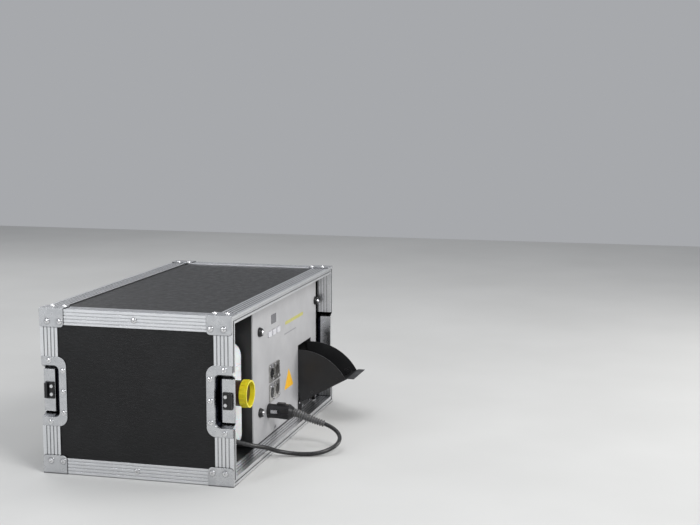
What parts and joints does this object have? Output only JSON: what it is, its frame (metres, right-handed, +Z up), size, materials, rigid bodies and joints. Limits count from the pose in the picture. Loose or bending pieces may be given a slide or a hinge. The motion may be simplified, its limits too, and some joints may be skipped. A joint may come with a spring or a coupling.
{
  "type": "fog machine",
  "caption": "Haze machine built into an open flight case, with a fluid canister beside it, a keypad, data sockets, a mains lead and a hinged outlet flap.",
  "frame": {"origin": "middle of the case's underside, on the plane that its corner brackets stand on", "axes": "+X to the machine's right seen from behind it, which is the canister side to the outlet side; +Y from the front panel to the rear panel; +Z up"},
  "size_m": [0.5776, 0.4271, 0.2688],
  "materials": {
    "case_laminate": "leather-grain film on birch plywood, satin",
    "case_aluminium": "extruded, anodised, satin",
    "case_steel": "zinc plated sheet, satin",
    "keeper_black": "black passivated",
    "rivet_steel": "zinc plated",
    "panel_grey": "fine matt powder coat",
    "chassis_black": "fine matt powder coat",
    "zinc_steel": "zinc plated sheet",
    "screw_steel": "nickel plated",
    "washer_black": "moulded",
    "display_lens": "tinted",
    "circuit_board": "solder mask",
    "key_white": "moulded",
    "socket_black": "black plated die casting",
    "pin_gold": "gold plated",
    "tab_nickel": "nickel plated",
    "connector_black": "moulded, slightly glossy",
    "cord_rubber": "smooth rubber sheath",
    "tie_fabric": "hook and loop",
    "flap_black": "fine matt powder coat",
    "fan_plastic": "moulded",
    "heater_aluminium": "cast",
    "wool": "mineral wool",
    "copper": "drawn tube",
    "pump_plastic": "moulded",
    "canister_white": "translucent blow-moulded polyethylene",
    "cap_yellow": "moulded",
    "adapter_brown": "moulded",
    "hose_black": "smooth"
  },
  "bodies": {
    "case": {"bottom_panel": "case_laminate", "top_panel": "case_laminate", "left_side_panel": "case_laminate", "right_side_panel": "case_laminate", "edge_profiles": "case_aluminium", "front_closing_profiles": "case_aluminium", "rear_closing_profiles": "case_aluminium", "corner_brackets": "case_steel", "left_latch_dishes": "case_steel", "right_latch_dishes": "case_steel", "latch_keepers": "keeper_black", "case_rivets": "rivet_steel", "front_panel": "panel_grey", "chassis_base": "chassis_black", "chassis_left_side": "chassis_black", "chassis_right_side": "chassis_black", "chassis_cover": "chassis_black", "rear_panel": "chassis_black", "panel_rails": "zinc_steel", "panel_screws": "screw_steel", "cup_washers": "washer_black", "small_screws": "screw_steel", "display_window": "display_lens", "control_board": "circuit_board", "female_sockets": "socket_black", "male_sockets": "socket_black", "socket_pins": "pin_gold", "mains_inlet": "connector_black", "power_connector": "connector_black", "strain_relief": "cord_rubber", "mains_cord": "cord_rubber", "cord_coil": "cord_rubber", "cord_tail": "cord_rubber", "wall_plug": "cord_rubber", "coil_tie": "tie_fabric", "hinge_pin": "screw_steel", "hinge_bracket": "flap_black", "outlet_duct": "chassis_black", "fan_frame": "fan_plastic", "heater_block": "heater_aluminium", "heater_insulation": "wool", "outlet_nozzle": "copper", "feed_pipe": "copper", "fluid_pump": "pump_plastic", "mounting_brackets": "zinc_steel", "power_board": "circuit_board", "fluid_canister": "canister_white", "suction_adapter": "adapter_brown", "fluid_hose": "hose_black"},
    "flap": {"flap_plate": "flap_black", "flap_cheeks": "flap_black", "flap_rivets": "rivet_steel"},
    "left_key": {"left_key": "key_white"},
    "middle_key": {"middle_key": "key_white"},
    "right_key": {"right_key": "key_white"},
    "upper_tab": {"upper_release_tab": "tab_nickel"},
    "lower_tab": {"lower_release_tab": "tab_nickel"},
    "latch": {"connector_latch": "tab_nickel"},
    "rotor": {"fan_rotor": "fan_plastic"},
    "cap": {"canister_cap": "cap_yellow"}
  },
  "joints": [
    {"name": "flap_hinge", "type": "hinge", "parent": "case", "child": "flap", "pos_m": [0.1875, -0.1365, 0.03], "axis": [-1, 0, 0], "range_deg": [0, 59]},
    {"name": "left_key_press", "type": "slide", "parent": "case", "child": "left_key", "axis": [0, 1, 0], "range_m": [0, 0.001], "stiffness_N_per_m": 800, "springref_m": -0.001},
    {"name": "middle_key_press", "type": "slide", "parent": "case", "child": "middle_key", "axis": [0, 1, 0], "range_m": [0, 0.001], "stiffness_N_per_m": 800, "springref_m": -0.001},
    {"name": "right_key_press", "type": "slide", "parent": "case", "child": "right_key", "axis": [0, 1, 0], "range_m": [0, 0.001], "stiffness_N_per_m": 800, "springref_m": -0.001},
    {"name": "upper_tab_press", "type": "slide", "parent": "case", "child": "upper_tab", "axis": [0, 1, 0], "range_m": [0, 0.0015], "stiffness_N_per_m": 1000, "springref_m": -0.002},
    {"name": "lower_tab_press", "type": "slide", "parent": "case", "child": "lower_tab", "axis": [0, 1, 0], "range_m": [0, 0.0015], "stiffness_N_per_m": 1000, "springref_m": -0.002},
    {"name": "latch_slide", "type": "slide", "parent": "case", "child": "latch", "axis": [0, -1, 0], "range_m": [0, 0.003], "stiffness_N_per_m": 800, "springref_m": -0.003},
    {"name": "rotor_spin", "type": "hinge", "parent": "case", "child": "rotor", "pos_m": [0.1875, -0.007, 0.082], "axis": [0, 1, 0], "continuous": true},
    {"name": "cap_turn", "type": "hinge", "parent": "case", "child": "cap", "pos_m": [-0.194, -0.151, 0.126], "axis": [0, 1, 0], "range_deg": [0, 540]}
  ]
}
